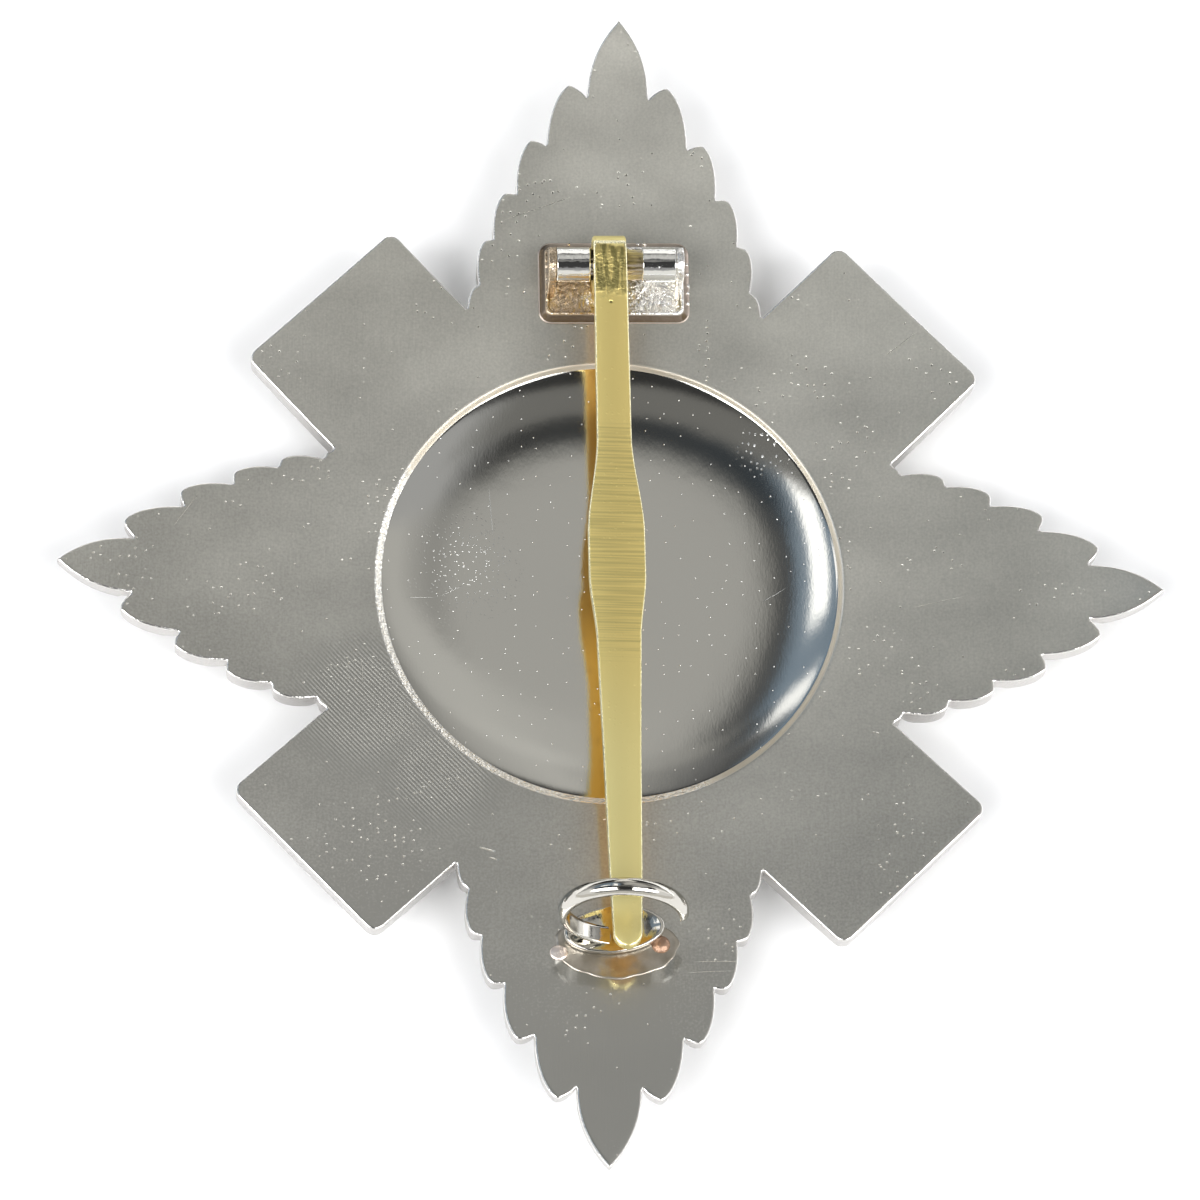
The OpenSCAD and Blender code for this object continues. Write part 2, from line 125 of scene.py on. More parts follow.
WHITE, CREAM, BLUE = (1.0, 1.0, 1.0), (1.0, 0.985, 0.94), (0.62, 0.80, 1.0)
ROOM_TOP = 9.0
ROOM_ROWS = [
    # angle toward +Y where the row starts, soft edge, and its stops from left to right:
    # angle to the right (degrees), strength, tint
    (-95, 1, [(0, 0.8, CREAM)]),
    (-62, 8, [(-60, 1.0, WHITE), (-52, 0.3, WHITE), (52, 0.3, WHITE), (60, 1.0, WHITE)]),
    (-42, 4, [(-60, 1.0, WHITE), (-52, 8.0, WHITE), (-17, 8.0, WHITE), (-14, 0.04, WHITE), (14, 0.04, WHITE),
              (17, 7.0, WHITE), (52, 7.0, WHITE), (60, 1.0, WHITE)]),
    (-13, 3, [(-60, 1.0, WHITE), (-50, 0.04, WHITE), (50, 0.04, WHITE), (56, 1.0, WHITE)]),
    (-2, 4, [(-60, 1.0, WHITE), (-50, 0.04, WHITE), (-24, 0.05, WHITE), (-20, 0.22, CREAM),
             (12, 0.22, CREAM), (20, 0.5, WHITE), (35, 0.5, WHITE), (39, 0.06, WHITE), (50, 0.06, WHITE),
             (56, 1.5, WHITE)]),
    (9, 3, [(-60, 0.8, WHITE), (-52, 0.36, BLUE), (-21, 0.42, BLUE), (-20, 2.0, WHITE),
            (-14, 2.0, WHITE), (-13, 0.42, BLUE), (-8, 0.06, BLUE), (9, 0.04, WHITE), (16, 0.5, WHITE),
            (36, 0.5, WHITE), (40, 0.06, WHITE), (49, 0.06, WHITE), (54, 1.2, WHITE)]),
    (15, 4, [(-60, 0.8, WHITE), (-52, 0.36, BLUE), (-46, 0.42, BLUE), (-44, 1.6, WHITE),
             (-30, 1.6, WHITE), (-28, 0.42, BLUE), (-22, 0.42, BLUE), (-20, 2.0, WHITE),
             (-14.5, 2.0, WHITE), (-13, 0.42, BLUE), (-9.5, 0.36, BLUE), (-7.5, 0.07, WHITE),
             (-5, 0.10, WHITE), (-4, 0.22, CREAM), (-2.3, 0.42, CREAM), (-0.5, 0.53, CREAM),
             (8, 0.53, CREAM), (13, 0.38, CREAM), (20, 0.5, CREAM), (26, 0.6, CREAM),
             (44, 0.6, CREAM), (54, 1.2, WHITE)]),
    (24, 3, [(-60, 0.6, WHITE), (-52, 0.32, BLUE), (-12, 0.42, BLUE), (-10, 0.3, BLUE),
             (-7.5, 0.08, WHITE), (-5, 0.12, WHITE), (-1.5, 0.5, CREAM), (4, 0.58, CREAM),
             (12, 0.64, CREAM), (30, 0.6, CREAM), (44, 0.4, CREAM), (54, 0.8, WHITE)]),
    (32, 3, [(-60, 0.4, WHITE), (-52, 0.28, BLUE), (-24, 0.5, BLUE), (-22, 1.6, WHITE),
             (-15, 1.6, WHITE), (-13, 0.2, BLUE), (-9, 0.08, WHITE), (-4, 0.38, CREAM),
             (2, 0.5, CREAM), (8, 0.7, CREAM), (24, 0.6, CREAM), (44, 0.3, CREAM), (54, 0.6, WHITE)]),
    (37, 4, [(-60, 0.4, WHITE), (-52, 0.28, BLUE), (-24, 0.4, BLUE), (-14, 0.1, WHITE),
             (-7, 0.2, WHITE), (2, 0.42, CREAM), (10, 0.64, CREAM), (24, 0.5, CREAM),
             (44, 0.2, CREAM), (54, 0.4, WHITE)]),
    (50, 4, [(-60, 0.5, WHITE), (-30, 0.04, WHITE), (30, 0.04, WHITE), (60, 0.6, WHITE)]),
    (57, 4, [(-80, 1.6, WHITE), (-70, 0.05, WHITE), (-32, 0.05, WHITE), (-26, 1.1, CREAM),
             (26, 1.1, CREAM), (32, 0.05, WHITE), (70, 0.05, WHITE), (80, 2.0, WHITE)]),
]
world = bpy.data.worlds.new("room")
bpy.context.scene.world = world
world.use_nodes = True
room = world.node_tree
ray = add_node(room, "ShaderNodeTexCoord").outputs["Generated"]
parts = axes(room, ray)
sideways = combine(room, "ARCTAN2", parts["X"], parts["Z"])
upward = combine(room, "ARCTAN2", parts["Y"], parts["Z"])
across = rescaled(room, sideways, (-math.pi / 2, math.pi / 2), (0.0, 1.0))
light_sum = None
for start, soft, stops in ROOM_ROWS:
    row = add_node(room, "ShaderNodeValToRGB", {"Fac": across})
    bar = row.color_ramp
    while len(bar.elements) > 1:
        bar.elements.remove(bar.elements[-1])
    for k, (turn, strength, tint) in enumerate(stops):
        stop = bar.elements[0] if k == 0 else bar.elements.new((turn + 90) / 180)
        stop.position = (turn + 90) / 180
        stop.color = (*(strength / ROOM_TOP * c for c in tint), 1)
    if light_sum is None:
        light_sum = row.outputs["Color"]
        continue
    edge = smooth_edge(room, upward, math.radians(start - soft / 2), math.radians(start + soft / 2))
    blend = add_node(room, "ShaderNodeMix", {"Factor": edge}, data_type="RGBA")
    room.links.new(light_sum, blend.inputs["A"])
    room.links.new(row.outputs["Color"], blend.inputs["B"])
    light_sum = blend.outputs["Result"]
behind = room.nodes["Background"]
room.links.new(light_sum, behind.inputs["Color"])
behind.inputs["Strength"].default_value = ROOM_TOP
light_path = add_node(room, "ShaderNodeLightPath")
backdrop = add_node(room, "ShaderNodeBackground", {"Color": (1, 1, 1, 1), "Strength": 1.0})
chosen = add_node(room, "ShaderNodeMixShader", {
    "Fac": light_path.outputs["Is Camera Ray"], 1: behind.outputs["Background"],
    2: backdrop.outputs["Background"],
})
room.links.new(chosen.outputs["Shader"], room.nodes["World Output"].inputs["Surface"])


# The star plate
# One casting: four leaf-shaped points and four square diagonal arms round a pressed dish, with a
# round boss on its hidden front. It is nickel plated, brushed on the back and polished in the dish.
star_len, star_w = 84.0, 76.4
long_leaf_w, side_leaf_w = 21.2, 19.4
arm_w, arm_reach, arm_corner_r = 14.06, 29.45, 0.8
back_h, point_rise, point_t, plate_t = 3.4, 3.83, 0.9, 2.0
boss_r, boss_shoulder, boss_ring_r, boss_step, dome_gap = 17.6, 1.1, 12.5, 1.0, 0.3
dish_r, dish_depth, dish_middle = 16.17, 1.3, np.array([-0.16, 0.5])
edge_round, rim_w = 0.14, 0.22
ray_bulge, short_bulge, full_bulge, full_power, root_share = 0.1, 0.08, 0.11, 0.75, 0.98
groove_shallow, groove_deeper, groove_spread, groove_foot, groove_gap = 0.15, 0.35, 1.1, 0.45, 0.6
panel_border, panel_edge, panel_sink = 1.1, 0.3, 0.45
COLUMNS = 1440
TEETH = np.array([
    # notch along, notch across, tooth along, tooth across: shares of reach and half root width
    [0.863, 0.205, 0.885, 0.325],
    [0.777, 0.473, 0.786, 0.575],
    [0.690, 0.668, 0.691, 0.745],
    [0.609, 0.817, 0.606, 0.873],
    [0.528, 0.905, 0.526, 0.925],
])
back_R = ((star_len / 2) ** 2 + point_rise**2) / (2 * point_rise)


def back_z(r):
    """Height of the hollow back at a distance r from the middle: the lower part of a sphere."""
    return back_h + back_R - np.sqrt(back_R**2 - r**2)


front_z0 = back_z(boss_r) - plate_t
front_z1 = back_z(star_len / 2) - point_t
front_drop = (((star_len / 2) ** 2 - boss_r**2) / (front_z1 - front_z0) - (front_z1 - front_z0)) / 2
front_R = math.hypot(star_len / 2, front_drop)


def front_z(r):
    """Height of the front at a distance r: a sphere that gives the plate both its thicknesses."""
    return front_z1 + front_drop - np.sqrt(front_R**2 - r**2)


def curved_side(p, q, bulge, steps, power):
    """Points from p toward q, standing out sideways as a parabola whose height is bulge times
    the side's length. A power under one moves the fullest place toward p."""
    t = np.arange(steps)[:, None] / steps
    s = t**power
    d = q - p
    return p + t * d + bulge * 4 * s * (1 - s) * np.array([-d[1], d[0]])


def leaf_side(reach, half):
    """One side of a leaf as (across, along): the long middle ray, then a short side out to each
    tooth and a full side back to the next notch, down to the root on the arm."""
    corners = [np.array([0.0, reach])]
    for notch_along, notch_across, tooth_along, tooth_across in TEETH:
        corners.append(np.array([notch_across * half, notch_along * reach]))
        corners.append(np.array([tooth_across * half, tooth_along * reach]))
    corners.append(np.array([root_share * half, root_share * half + arm_w / math.sqrt(2)]))
    runs = [curved_side(corners[0], corners[1], ray_bulge, 60, 1.0)]
    for k in range(1, len(corners) - 1, 2):
        runs.append(curved_side(corners[k], corners[k + 1], short_bulge, 16, 1.0))
        runs.append(curved_side(corners[k + 1], corners[k + 2], full_bulge, 40, full_power))
    return np.vstack(runs + [corners[-1][None]])


def circle(turn):
    """Points of a circle of radius 1 at the angles turn."""
    return np.stack([np.cos(turn), np.sin(turn)], 1)


def at_height(flat, z):
    """Points of the plan, all at one height or each at its own."""
    return np.c_[flat, np.broadcast_to(z, len(flat))]


def arm_corner(side):
    """A rounded corner of the square arm between +Y and +X: a quarter circle."""
    turn = np.radians((135 if side > 0 else 45) - 90 * np.arange(9) / 8)
    along, across = arm_reach - arm_corner_r, side * (arm_w / 2 - arm_corner_r)
    middle = np.array([along - across, along + across]) / math.sqrt(2)
    return middle + arm_corner_r * circle(turn)


def star_outline():
    """The whole outline, clockwise from the upper point, at even steps. One quarter is worked
    out and mirrored three times."""
    quarter = np.vstack([
        leaf_side(star_len / 2, long_leaf_w / 2), arm_corner(1), arm_corner(-1),
        leaf_side(star_w / 2, side_leaf_w / 2)[::-1, ::-1],
    ])
    run = np.r_[0, np.cumsum(np.hypot(*np.diff(quarter, axis=0).T))]
    even = np.linspace(0, run[-1], COLUMNS // 4 + 1)
    quarter = np.stack([np.interp(even, run, quarter[:, k]) for k in (0, 1)], 1)
    back = quarter[::-1]
    return np.vstack([
        quarter[:-1], (back * [1, -1])[:-1], (quarter * [-1, -1])[:-1], (back * [-1, 1])[:-1],
    ])


def front_relief(p):
    """Height of the front at points p: the front's sphere, raised by the V grooves between the
    rays and lowered by the bordered panel on each arm."""
    z = front_z(np.hypot(p[:, 0], p[:, 1]))
    for turn, reach, half in ((0, star_len / 2, long_leaf_w / 2), (90, star_w / 2, side_leaf_w / 2)):
        c, s = math.cos(math.radians(turn)), math.sin(math.radians(turn))
        q = np.abs(np.stack([c * p[:, 0] + s * p[:, 1], -s * p[:, 0] + c * p[:, 1]], 1))
        for notch_along, notch_across, _, _ in TEETH:
            notch = np.array([notch_across * half, notch_along * reach])
            root = np.array([notch[0] * groove_foot, boss_r + groove_gap])
            length = np.linalg.norm(notch - root)
            way = (notch - root) / length
            along = (q - root) @ way
            off = np.abs((q - root) @ np.array([-way[1], way[0]]))
            depth = groove_shallow + groove_deeper * np.clip(along / length, 0, 1.1)
            cut = np.clip(depth - off / groove_spread, 0, None) * (along > 0) * (along < length + 1)
            z = z + cut
    d = np.abs(p[:, 0:1] + np.array([[1, -1]]) * p[:, 1:2]) / math.sqrt(2)
    along, across = d.max(1), d.min(1)
    edge = np.minimum(arm_reach - panel_border - along, arm_w / 2 - panel_border - across)
    step = np.clip(edge / panel_edge + 0.5, 0, 1)
    return z - panel_sink * step * step * (3 - 2 * step)


def ring_faces(start, nxt, count):
    """Square faces between two rings of the same count, numbered from start and from nxt."""
    j = np.arange(count)
    k = (j + 1) % count
    return np.stack([start + j, start + k, nxt + k, nxt + j], 1)


def end_faces(tip, last_ring, count):
    """Triangles that close the first ring on the point tip, and the ring numbered from last_ring
    on the point after it."""
    j = np.arange(count)
    k = (j + 1) % count
    return [np.stack([np.full(count, tip), k, j], 1),
            np.stack([np.full(count, tip + 1), last_ring + j, last_ring + k], 1)]


outline = star_outline()
heading = np.roll(outline, -1, 0) - np.roll(outline, 1, 0)
side_out = np.stack([-heading[:, 1], heading[:, 0]], 1) / np.hypot(*heading.T)[:, None]
inset = outline - edge_round * side_out
angle = np.arctan2(*(inset - dish_middle).T[::-1])
coarse = angle[::4]


def dish_ring(r, z, turn=angle):
    """A ring round the dish's middle, at a radius and height."""
    return at_height(dish_middle + r * circle(turn), z)


rim_z = back_z(np.hypot(*(dish_middle + dish_r * circle(angle)).T))
dish_floor_shift = np.array([-0.7, -0.6])
lip_shift = np.array([0.09, 0.12])
lip_w, lip_h, bowl_h = 0.3, 0.34, 0.78

# Rings from the dish's middle over its lip and the back, round the edge, and in over the front
rings = []
dish_shares = np.r_[np.linspace(0.02, 0.6, 14), np.linspace(0.62, 1.0, 40)]
for share in dish_shares:
    ring = dish_ring(share * (dish_r - lip_w), 0, coarse)
    ring[:, :2] += dish_floor_shift * (1 - share) + lip_shift * share
    drop = bowl_h * (1 - share**4) + (dish_depth - lip_h - bowl_h) * (1 - share**9)
    ring[:, 2] = rim_z[::4] - lip_h - drop
    rings.append(ring)
dish_rings = len(rings)
for r, drop in ((-0.28, 0.33), (-0.23, 0.29), (-0.1, 0.15), (0.0, 0.05), (0.05, 0.018), (0.1, 0.004)):
    ring = dish_ring(dish_r + r, rim_z - drop)
    ring[:, :2] += lip_shift * max(0, -r / lip_w)
    rings.append(ring)
lip_rings = len(rings)
rim = dish_ring(dish_r + rim_w, 0)[:, :2]
for share in (0, 0.01, 0.03, 0.08, 0.16, 0.28, 0.4, 0.52, 0.64, 0.76, 0.86, 0.94, 0.985, 1):
    flat = rim + share * (inset - rim)
    rings.append(np.c_[flat, back_z(np.hypot(*flat.T))])
edge_rings = len(rings)
edge_z = back_z(np.hypot(*inset.T))
under_z = front_relief(inset)
for turn in (20, 45, 70, 90):
    a = math.radians(turn)
    flat = inset + edge_round * math.sin(a) * side_out
    rings.append(np.c_[flat, edge_z - edge_round * (1 - math.cos(a))])
for share in (0.35, 0.7):
    rings.append(np.c_[outline, edge_z - edge_round + share * (under_z - edge_z + 2 * edge_round)])
for turn in (0, 30, 60):
    a = math.radians(turn)
    flat = inset + edge_round * math.cos(a) * side_out
    rings.append(np.c_[flat, under_z + edge_round * (1 - math.sin(a))])
edge_end = len(rings)
boss_turn = np.arctan2(inset[:, 1], inset[:, 0])
boss_edge = boss_r * circle(boss_turn)
for share in np.r_[0, 0.01, np.linspace(0.035, 0.17, 7), np.linspace(0.25, 1, 9)]:
    flat = inset + share * (boss_edge - inset)
    rings.append(np.c_[flat, front_relief(flat)])
boss_coarse = boss_turn[::4]
boss_profile = [
    (boss_r, boss_shoulder + 0.2), (boss_r - 0.05, boss_shoulder - 0.05), (boss_r - 0.6, 0.5),
    (boss_r - boss_shoulder + 0.15, 0.1), (boss_r - boss_shoulder - 0.1, 0.0),
    (boss_ring_r + 0.15, 0.0), (boss_ring_r - 0.02, 0.1), (boss_ring_r - 0.4, boss_step * 0.9),
]
dome_r = boss_ring_r - boss_step / 2
dome = np.linspace(1, 0.03, 18) * dome_r
boss_profile += [(r, dome_gap + (boss_step - dome_gap) * (r / dome_r) ** 2) for r in dome]
for r, z in boss_profile:
    rings.append(at_height(r * circle(boss_coarse), z))
starts = np.r_[0, np.cumsum([len(r) for r in rings])]
quarter_count = COLUMNS // 4
faces = []
for i in range(len(rings) - 1):
    a, b = len(rings[i]), len(rings[i + 1])
    if a == b:
        faces.append(ring_faces(starts[i], starts[i + 1], a))
        continue
    j = np.arange(quarter_count)
    k = (j + 1) % quarter_count
    fine, few = (i + 1, i) if b > a else (i, i + 1)
    comb = np.stack([starts[fine] + (4 * j + n) % COLUMNS for n in range(5)], 1)
    pair = np.stack([starts[few] + k, starts[few] + j], 1)
    face = np.c_[comb, pair]
    faces.append(face[:, ::-1] if b > a else face)
faces += end_faces(starts[-1], starts[-2], quarter_count)
floor_middle = np.r_[dish_middle + dish_floor_shift, rings[0][:, 2].mean()]
points = np.vstack(rings + [floor_middle[None], [[0, 0, dome_gap]]])
star = new_piece("star_back", points, faces)


def scaled_by(tree, vector, factors):
    """A vector times a factor for each direction."""
    made = add_node(tree, "ShaderNodeVectorMath", {0: vector, 1: factors}, operation="MULTIPLY")
    return made.outputs["Vector"]


def metal(name, tint, rough):
    """A new bare-metal material. Returns it with its node tree, its shader and its object
    coordinates in millimetres."""
    made = bpy.data.materials.new(name)
    made.use_nodes = True
    tree = made.node_tree
    shader = tree.nodes["Principled BSDF"]
    shader.inputs["Metallic"].default_value = 1.0
    shader.inputs["Base Color"].default_value = (*tint, 1)
    shader.inputs["Roughness"].default_value = rough
    place = add_node(tree, "ShaderNodeTexCoord").outputs["Object"]
    return made, tree, shader, scaled_by(tree, place, (1 / MM, 1 / MM, 1 / MM))


def stretched_noise(tree, coords, scale, detail):
    """Noise over coordinates that are first stretched by scale, a number for each direction."""
    return add_node(tree, "ShaderNodeTexNoise", {
        "Vector": scaled_by(tree, coords, scale), "Scale": 1.0, "Detail": detail,
    }).outputs["Fac"]


def times(tree, a, b):
    """The product of two values or links."""
    return combine(tree, "MULTIPLY", a, b)


def plus(tree, a, b):
    """The sum of two values or links."""
    return combine(tree, "ADD", a, b)


def greater(tree, a, b):
    """The greater of two values or links."""
    return combine(tree, "MAXIMUM", a, b)


def near_spot(tree, coords, place, reach, soft):
    """1 within reach of a place on the plate, seen from above, and 0 beyond the soft edge."""
    flat = scaled_by(tree, coords, (1, 1, 0))
    away = add_node(tree, "ShaderNodeVectorMath", {0: flat, 1: (*place, 0)}, operation="DISTANCE")
    return smooth_edge(tree, away.outputs["Value"], reach + soft / 2, reach - soft / 2)


def near_line(tree, coords, start, end, width):
    """1 on a fine straight scratch from start to end, seen from above, and 0 beside it."""
    start, end = Vector((*start, 0)), Vector((*end, 0))
    line = add_node(tree, "ShaderNodeMapping", {
        "Vector": coords, "Location": (start + end) / 2,
        "Rotation": (0, 0, math.atan2(end.y - start.y, end.x - start.x)),
        "Scale": ((end - start).length / 2, width / 2, 1000),
    }, vector_type="TEXTURE")
    away = add_node(tree, "ShaderNodeVectorMath", {0: line.outputs["Vector"]}, operation="ABSOLUTE")
    off = axes(tree, away.outputs["Vector"])
    return smooth_edge(tree, greater(tree, off["X"], off["Y"]), 1.0, 0.5)


def specks(tree, coords, per_mm, size, share):
    """Small round specks: one in the middle of each cell of a Voronoi pattern, kept in a share
    of the cells."""
    cells = add_node(tree, "ShaderNodeTexVoronoi", {"Vector": coords, "Scale": per_mm},
                     voronoi_dimensions="2D")
    dot = smooth_edge(tree, cells.outputs["Distance"], size * per_mm, size * per_mm * 0.5)
    pick = add_node(tree, "ShaderNodeSeparateColor", {"Color": cells.outputs["Color"]})
    kept = smooth_edge(tree, pick.outputs["Red"], share, share - 0.01)
    return times(tree, dot, kept)


def raised(tree, shader, height):
    """Sets the bump of a shader from a height in millimetres."""
    bump = add_node(tree, "ShaderNodeBump", {"Height": height, "Strength": 1.0, "Distance": MM})
    tree.links.new(bump.outputs["Normal"], shader.inputs["Normal"])


def uneven(tree, shader, coords, scale, detail, high):
    """Sets the bump of a shader to stretched noise that is high millimetres deep."""
    raised(tree, shader, times(tree, stretched_noise(tree, coords, scale, detail), high))


def uneven_metal(name, tint, rough, scale, detail, high):
    """A bare-metal material with an uneven surface and nothing more."""
    made, tree, shader, mm = metal(name, tint, rough)
    uneven(tree, shader, mm, scale, detail, high)
    return made


def colour_between(tree, factor, dark, light):
    """A mix node between two colours, by a factor from 0 to 1."""
    mix = add_node(tree, "ShaderNodeMix", {"Factor": factor}, data_type="RGBA")
    mix.inputs["A"].default_value = (*dark, 1)
    mix.inputs["B"].default_value = (*light, 1)
    return mix


def tinted(tree, shader, factor, dark, light):
    """Sets a shader's base colour between two colours by a factor. Returns the mix node."""
    mix = colour_between(tree, factor, dark, light)
    tree.links.new(mix.outputs["Result"], shader.inputs["Base Color"])
    return mix


nickel, tree, shader, mm = metal("brushed_nickel", (0.60, 0.58, 0.53), 0.42)
shader.inputs["Coat Weight"].default_value = 1.0
shader.inputs["Coat Roughness"].default_value = 0.1
shader.inputs["Coat IOR"].default_value = 2.4
brushing = stretched_noise(tree, mm, (8.0, 0.5, 0.5), 2.0)
fine = stretched_noise(tree, mm, (6.0, 6.0, 6.0), 2.0)
mottle = stretched_noise(tree, mm, (0.1, 0.16, 0.1), 3.0)
patches = smooth_edge(tree, stretched_noise(tree, mm, (0.22, 0.22, 0.22), 1.0), 0.55, 0.68)
patches = greater(tree, patches, near_spot(tree, mm, (-16.0, -19.0), 3.0, 4.0))
patches = greater(tree, patches, near_spot(tree, mm, (-17.5, -6.5), 1.6, 3.0))
patches = greater(tree, patches, near_spot(tree, mm, (18.2, -4.0), 1.2, 4.0))
worn_specks_and_glints = times(tree, specks(tree, mm, 1.7, 0.1, 0.4), patches)
few = specks(tree, mm, 0.5, 0.08, 0.35)
marks_and_glints = greater(tree, worn_specks_and_glints, few)
for start, end, width in (
    ((-17.0, -8.0), (-17.2, -5.6), 0.05), ((5.6, -27.1), (9.8, -27.0), 0.06),
    ((5.2, -27.9), (8.4, -27.7), 0.05), ((12.6, -24.0), (13.4, -22.4), 0.06),
    ((-30.4, 3.0), (-28.6, 5.8), 0.05), ((21.0, -1.0), (24.5, -0.2), 0.05),
    ((-8.0, 27.0), (-3.0, 29.0), 0.05), ((19.0, 17.5), (21.5, 19.5), 0.05),
    ((-8.9, -19.2), (-7.7, -19.5), 0.16), ((-8.2, -19.9), (-7.5, -20.1), 0.12),
):
    marks_and_glints = greater(tree, marks_and_glints, near_line(tree, mm, start, end, width))
slant = add_node(tree, "ShaderNodeVectorMath", {0: mm, 1: (18.5, 18.5, 0)}, operation="DOT_PRODUCT")
ridges = combine(tree, "SINE", slant.outputs["Value"], 0)
ridge_zone = greater(tree, near_spot(tree, mm, (-16.9, -9.2), 4.6, 4.0),
                     near_spot(tree, mm, (-11.6, -13.9), 3.8, 3.4))
height = times(tree, brushing, 0.012)
height = plus(tree, height, times(tree, fine, 0.002))
height = combine(tree, "SUBTRACT", height, times(tree, marks_and_glints, 0.05))
ridge_height = times(tree, times(tree, ridges, ridge_zone), 0.014)
raised(tree, shader, plus(tree, height, ridge_height))
rough = rescaled(tree, mottle, (0.3, 0.7), (0.38, 0.46))
shiny = times(tree, marks_and_glints, 0.3)
tree.links.new(combine(tree, "SUBTRACT", rough, shiny), shader.inputs["Roughness"])
stain = greater(tree, near_spot(tree, mm, (0.5, -33.5), 3.0, 5.0),
                near_spot(tree, mm, (0.8, -29.6), 2.6, 4.0))
place = axes(tree, mm)
# Painted shade: the plate is painted lighter toward its upper point and darker toward its lower one, partly
# tarnish and partly painted shade for the light's fall across it. It is also a little darker toward the
# left.
tarnish_and_painted_shade = rescaled(tree, place["Y"], (-40.0, 34.0), (-0.38, 0.44))
leftward = rescaled(tree, place["X"], (-36.0, 20.0), (-0.13, 0.06))
tarnish_and_painted_shade = plus(tree, tarnish_and_painted_shade, leftward)
# Painted shade: the troughs of the ridges are painted darker.
groove = times(tree, combine(tree, "SUBTRACT", ridges, 0.7), ridge_zone)
tarnish_and_painted_shade = plus(tree, tarnish_and_painted_shade, times(tree, groove, 0.26))
sand = times(tree, combine(tree, "SUBTRACT", fine, 0.5), 0.5)
tarnish_and_painted_shade = plus(tree, tarnish_and_painted_shade, sand)
# The wear specks and scratches are painted lighter. They are real marks, and the lighter colour is also a
# painted highlight that stands in for their glints.
tone = plus(tree, times(tree, mottle, 0.45), times(tree, marks_and_glints, 1.2))
tone = plus(tree, plus(tree, tone, tarnish_and_painted_shade), times(tree, brushing, 0.12))
tone = combine(tree, "SUBTRACT", tone, times(tree, stain, 0.16))
shade = rescaled(tree, tone, (0.0, 1.0), (0.0, 1.0))
tinted(tree, shader, shade, (0.33, 0.325, 0.295), (0.80, 0.78, 0.70))

dish_tint = (0.64, 0.635, 0.60)
polished, tree, shader, mm = metal("polished_nickel", dish_tint, 0.1)
drift = stretched_noise(tree, mm, (0.3, 0.3, 0.3), 2.0)
fine = stretched_noise(tree, mm, (7.0, 2.5, 4.0), 2.0)
dust = greater(tree, specks(tree, mm, 2.4, 0.06, 0.55), specks(tree, mm, 3.3, 0.045, 0.3))
dust = times(tree, dust, near_spot(tree, mm, (-10.4, 1.6), 2.6, 5.5))
dust = greater(tree, dust, specks(tree, mm, 0.9, 0.05, 0.5))
far_dust = times(tree, specks(tree, mm, 2.2, 0.1, 0.6), near_spot(tree, mm, (10.6, 10.8), 1.2, 2.4))
dust = greater(tree, dust, far_dust)
for start, end, width in (
    ((-14.4, -0.9), (-11.9, -0.7), 0.05), ((-12.0, -0.72), (-10.2, 0.3), 0.05),
    ((10.5, -0.4), (12.3, 0.7), 0.05), ((-8.6, 7.8), (-8.2, 3.8), 0.06),
):
    scratch = times(tree, near_line(tree, mm, start, end, width), 0.3)
    dust = greater(tree, dust, scratch)
height = times(tree, drift, 0.01)
height = plus(tree, height, times(tree, fine, 0.0015))
raised(tree, shader, plus(tree, height, times(tree, dust, 0.012)))
tinted(tree, shader, dust, dish_tint, (0.95, 0.95, 0.93))
tree.links.new(rescaled(tree, dust, (0.0, 1.0), (0.1, 0.4)), shader.inputs["Roughness"])

lip, tree, shader, mm = metal("satin_lip", (0.92, 0.91, 0.88), 0.24)
place = axes(tree, mm)
# Painted highlight: the lower-left side of the lip is painted near white, and the rest of it darker.
lit_side = smooth_edge(tree, plus(tree, place["Y"], place["X"]), -4.0, -9.0)
grain = times(tree, stretched_noise(tree, mm, (3.5, 3.5, 3.5), 4.0), lit_side)
raised(tree, shader, times(tree, grain, 0.12))
tinted(tree, shader, lit_side, (0.66, 0.62, 0.54), (1.0, 1.0, 0.98))
tree.links.new(rescaled(tree, lit_side, (0.0, 1.0), (0.5, 0.2)), shader.inputs["Roughness"])

# Painted highlight: the rounded edges get a paler nickel than the plate, so that they show as bright lines.
edge_highlight_nickel = uneven_metal("nickel_edge_painted_highlight", (0.88, 0.87, 0.85), 0.16, (4.0, 4.0, 4.0), 3.0, 0.03)
wall = uneven_metal("edge_wall", (0.60, 0.58, 0.56), 0.3, (4.0, 4.0, 4.0), 3.0, 0.06)

for made in (nickel, polished, edge_highlight_nickel, lip, wall):
    star.data.materials.append(made)
face_ends = np.r_[0, np.cumsum([len(f) for f in faces])]
POLISHED, EDGE, LIP, WALL = 1, 2, 3, 4
dish_end, lip_end, flat_end = face_ends[dish_rings - 1], face_ends[lip_rings - 1], face_ends[edge_rings - 1]
round_end, wall_end = face_ends[edge_rings + 2], face_ends[edge_end - 1]
slots = np.zeros(len(star.data.polygons), int)
slots[:dish_end] = POLISHED
slots[dish_end:lip_end] = LIP
slots[flat_end:round_end] = EDGE
slots[round_end:wall_end] = WALL
slots[-2 * quarter_count:-quarter_count] = POLISHED
star.data.polygons.foreach_set("material_index", slots)
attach(star, "star")
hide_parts("star_plate")

